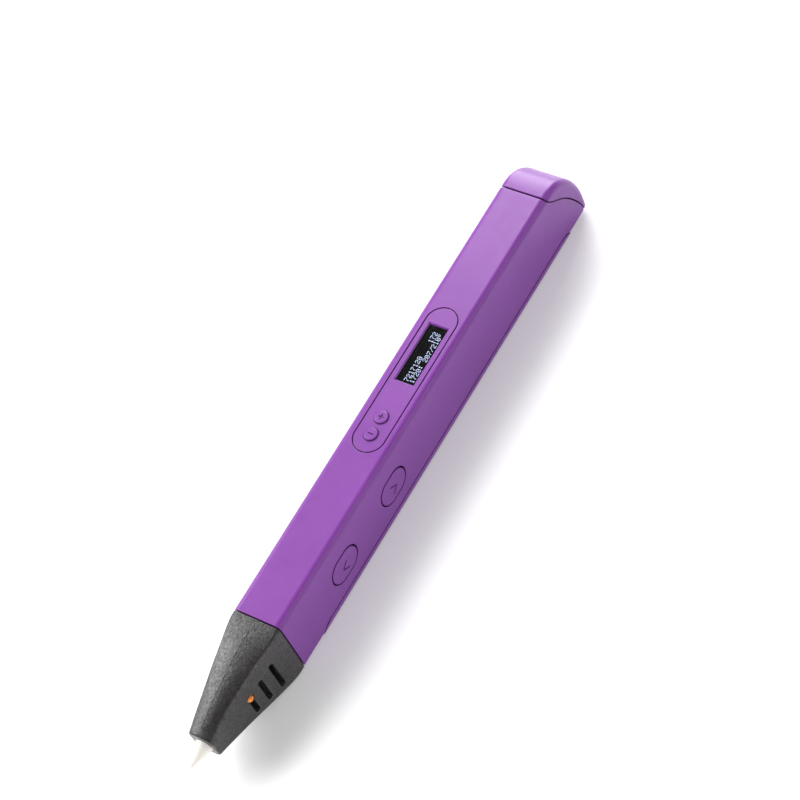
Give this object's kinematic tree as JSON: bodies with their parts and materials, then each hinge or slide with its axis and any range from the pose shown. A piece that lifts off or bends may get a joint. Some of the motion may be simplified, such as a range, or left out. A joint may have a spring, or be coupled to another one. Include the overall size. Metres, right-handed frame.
{
  "type": "3d printing pen",
  "caption": "Slim rectangular filament pen with a tapered nose, ceramic nozzle, recessed display, round and oval press buttons, side slider and rounded tail cap.",
  "frame": {"origin": "under the middle of the pen, on the plane its back rests on", "axes": "+X from the nozzle tip to the tail, +Z out of the display face, the oval feed buttons on the -Y side"},
  "size_m": [0.18, 0.014, 0.0216],
  "materials": {
    "body_plastic": "satin, fine grained",
    "knob_plastic": "satin, ridged",
    "nose_plastic": "semi-gloss, moulded texture",
    "white_ceramic": "fine, unglazed",
    "dark_steel": "heat darkened",
    "amber_film": "glossy polyimide",
    "steel": "turned",
    "insulator": "matt",
    "ptfe": "waxy",
    "dark_plastic": "moulded",
    "brass": "turned",
    "circuit_board": "solder mask",
    "clear_window": "clear, flat",
    "display_glass": "black glass",
    "chip_epoxy": "matt epoxy",
    "wire_white": "silicone",
    "wire_red": "silicone",
    "wire_black": "silicone",
    "white_nylon": "moulded nylon"
  },
  "bodies": {
    "housing": {"front_shell": "body_plastic", "back_cover": "body_plastic", "end_cap": "body_plastic", "nose_cover": "nose_plastic", "nozzle": "white_ceramic", "heater_barrel": "dark_steel", "heater_wrap": "amber_film", "thermistor": "amber_film", "heat_break": "steel", "hot_end_mount": "insulator", "ptfe_liner": "ptfe", "feed_chassis": "dark_plastic", "feed_bushes": "brass", "gearbox": "steel", "drive_motor": "steel", "arm_pivot_pin": "steel", "idler_spring": "steel", "filament_guide": "ptfe", "side_switches": "dark_plastic", "side_switch_board": "circuit_board", "front_switches": "dark_plastic", "display_panel": "body_plastic", "display_window": "clear_window", "oled_glass": "display_glass", "oled_carrier": "dark_plastic", "oled_flex": "amber_film", "main_board": "circuit_board", "board_chips": "chip_epoxy", "board_screws": "steel", "slide_potentiometer": "steel", "power_jack": "dark_plastic", "jack_pin": "brass", "inlet_grommet": "dark_plastic", "heater_wires": "wire_white", "motor_wires": "wire_red", "power_wires": "wire_black"},
    "drive_worm": {"worm_shaft": "brass"},
    "feed_shaft_set": {"feed_shaft": "steel", "feed_roller": "brass", "worm_wheel": "white_nylon"},
    "idler_lever": {"idler_arm": "dark_plastic", "idler_pin": "steel"},
    "idler_wheel": {"idler_roller": "steel"},
    "feed_key": {"feed_button": "body_plastic", "feed_switch_plunger": "white_nylon"},
    "retract_key": {"retract_button": "body_plastic", "retract_switch_plunger": "white_nylon"},
    "temp_down_key": {"temp_down_button": "body_plastic", "temp_down_plunger": "white_nylon"},
    "temp_up_key": {"temp_up_button": "body_plastic", "temp_up_plunger": "white_nylon"},
    "speed_knob": {"speed_slider": "knob_plastic"}
  },
  "joints": [
    {"name": "worm_spin", "type": "hinge", "parent": "housing", "child": "drive_worm", "pos_m": [-0.045, 0.00085, 0.005], "axis": [1, 0, 0], "continuous": true},
    {"name": "feed_roller_spin", "type": "hinge", "parent": "housing", "child": "feed_shaft_set", "pos_m": [-0.045, -0.00285, 0.0103], "axis": [0, 0, 1], "continuous": true},
    {"name": "idler_lever_swing", "type": "hinge", "parent": "housing", "child": "idler_lever", "pos_m": [-0.0382, 0.0037, 0.0103], "axis": [0, 0, 1], "range_deg": [-3, 0], "stiffness_Nm_per_rad": 0.05, "springref_deg": 2.86},
    {"name": "idler_wheel_spin", "type": "hinge", "parent": "idler_lever", "child": "idler_wheel", "pos_m": [-0.045, 0.0029, 0.0103], "axis": [0, 0, 1], "continuous": true},
    {"name": "feed_press", "type": "slide", "parent": "housing", "child": "feed_key", "axis": [0, 1, 0], "range_m": [0, 0.0004], "stiffness_N_per_m": 1500, "springref_m": -0.0004},
    {"name": "retract_press", "type": "slide", "parent": "housing", "child": "retract_key", "axis": [0, 1, 0], "range_m": [0, 0.0004], "stiffness_N_per_m": 1500, "springref_m": -0.0004},
    {"name": "temp_down_press", "type": "slide", "parent": "housing", "child": "temp_down_key", "axis": [0, 0, -1], "range_m": [0, 0.00035], "stiffness_N_per_m": 1500, "springref_m": -0.0004},
    {"name": "temp_up_press", "type": "slide", "parent": "housing", "child": "temp_up_key", "axis": [0, 0, -1], "range_m": [0, 0.00035], "stiffness_N_per_m": 1500, "springref_m": -0.0004},
    {"name": "speed_slide", "type": "slide", "parent": "housing", "child": "speed_knob", "axis": [1, 0, 0], "range_m": [-0.004, 0.004]}
  ],
  "couplings": [
    {"joint": "feed_roller_spin", "follows": "worm_spin", "ratio": 0.0625},
    {"joint": "idler_wheel_spin", "follows": "worm_spin", "ratio": -0.0625}
  ]
}
